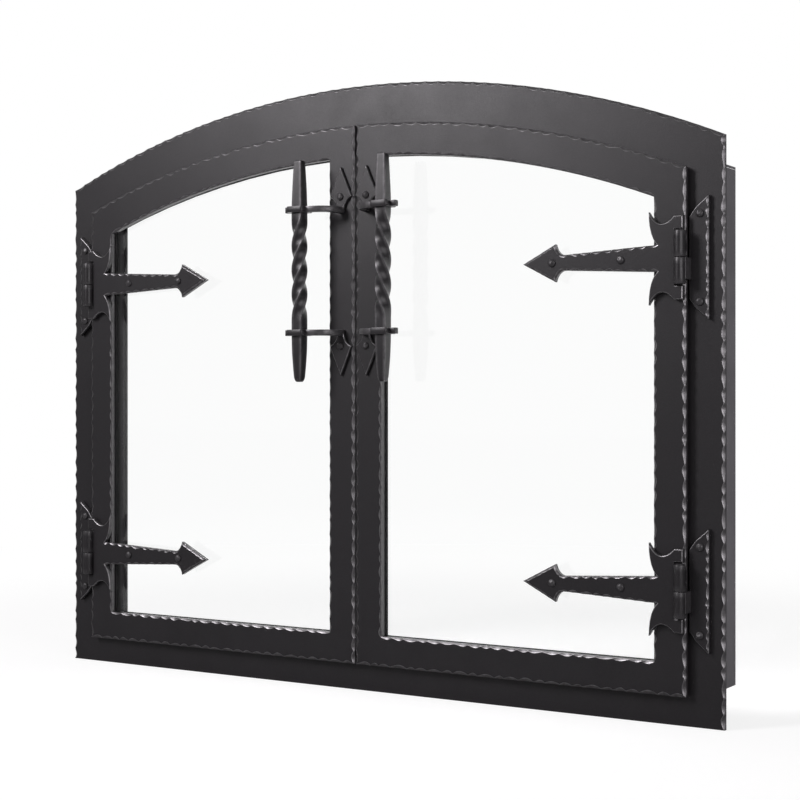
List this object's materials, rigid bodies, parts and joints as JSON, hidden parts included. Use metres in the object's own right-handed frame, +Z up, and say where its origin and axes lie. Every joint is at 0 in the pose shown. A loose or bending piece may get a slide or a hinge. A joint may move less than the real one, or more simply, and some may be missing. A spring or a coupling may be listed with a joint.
{
  "type": "fireplace glass door",
  "caption": "Arched fireplace door set: steel faceplate and liner with a pair of glazed doors on riveted strap hinges, each with a twisted bar handle.",
  "frame": {"origin": "middle of the faceplate's bottom edge, at the middle of its thickness", "axes": "+X to the right seen from the room, +Y from the room into the fireplace, +Z up"},
  "size_m": [1.109, 0.1617, 0.876],
  "materials": {
    "black_steel": "satin black with hammered edges",
    "forged_steel": "satin black, forged and riveted",
    "liner_steel": "grey-black sheet",
    "clear_glass": "clear",
    "gasket_rope": "black glass-fibre tape",
    "magnet": "dark cased magnet"
  },
  "bodies": {
    "frame": {"faceplate": "black_steel", "liner_sill": "liner_steel", "liner_arch": "liner_steel", "liner_left": "liner_steel", "liner_right": "liner_steel", "catch_bracket": "black_steel", "catch_magnet_left": "magnet", "catch_magnet_right": "magnet", "left_upper_frame_leaf": "forged_steel", "left_upper_hinge_pin": "forged_steel", "left_upper_frame_rivet_top": "forged_steel", "left_upper_frame_rivet_bottom": "forged_steel", "left_lower_frame_leaf": "forged_steel", "left_lower_hinge_pin": "forged_steel", "left_lower_frame_rivet_top": "forged_steel", "left_lower_frame_rivet_bottom": "forged_steel", "right_upper_frame_leaf": "forged_steel", "right_upper_hinge_pin": "forged_steel", "right_upper_frame_rivet_top": "forged_steel", "right_upper_frame_rivet_bottom": "forged_steel", "right_lower_frame_leaf": "forged_steel", "right_lower_hinge_pin": "forged_steel", "right_lower_frame_rivet_top": "forged_steel", "right_lower_frame_rivet_bottom": "forged_steel"},
    "left_door": {"left_door_frame": "black_steel", "left_gasket": "gasket_rope", "left_glass": "clear_glass", "left_glass_retainer": "black_steel", "left_handle": "forged_steel", "left_upper_strap": "forged_steel", "left_upper_strap_rivet_root": "forged_steel", "left_upper_strap_rivet_tip": "forged_steel", "left_upper_bracket": "forged_steel", "left_upper_bracket_rivet": "forged_steel", "left_lower_strap": "forged_steel", "left_lower_strap_rivet_root": "forged_steel", "left_lower_strap_rivet_tip": "forged_steel", "left_lower_bracket": "forged_steel", "left_lower_bracket_rivet": "forged_steel"},
    "right_door": {"right_door_frame": "black_steel", "right_gasket": "gasket_rope", "right_glass": "clear_glass", "right_glass_retainer": "black_steel", "right_handle": "forged_steel", "right_upper_strap": "forged_steel", "right_upper_strap_rivet_root": "forged_steel", "right_upper_strap_rivet_tip": "forged_steel", "right_upper_bracket": "forged_steel", "right_upper_bracket_rivet": "forged_steel", "right_lower_strap": "forged_steel", "right_lower_strap_rivet_root": "forged_steel", "right_lower_strap_rivet_tip": "forged_steel", "right_lower_bracket": "forged_steel", "right_lower_bracket_rivet": "forged_steel"}
  },
  "joints": [
    {"name": "left_door_hinge", "type": "hinge", "parent": "frame", "child": "left_door", "pos_m": [-0.5033, -0.02738, 0.39], "axis": [0, 0, -1], "range_deg": [0, 170]},
    {"name": "right_door_hinge", "type": "hinge", "parent": "frame", "child": "right_door", "pos_m": [0.5033, -0.02738, 0.39], "axis": [0, 0, 1], "range_deg": [0, 170]}
  ]
}
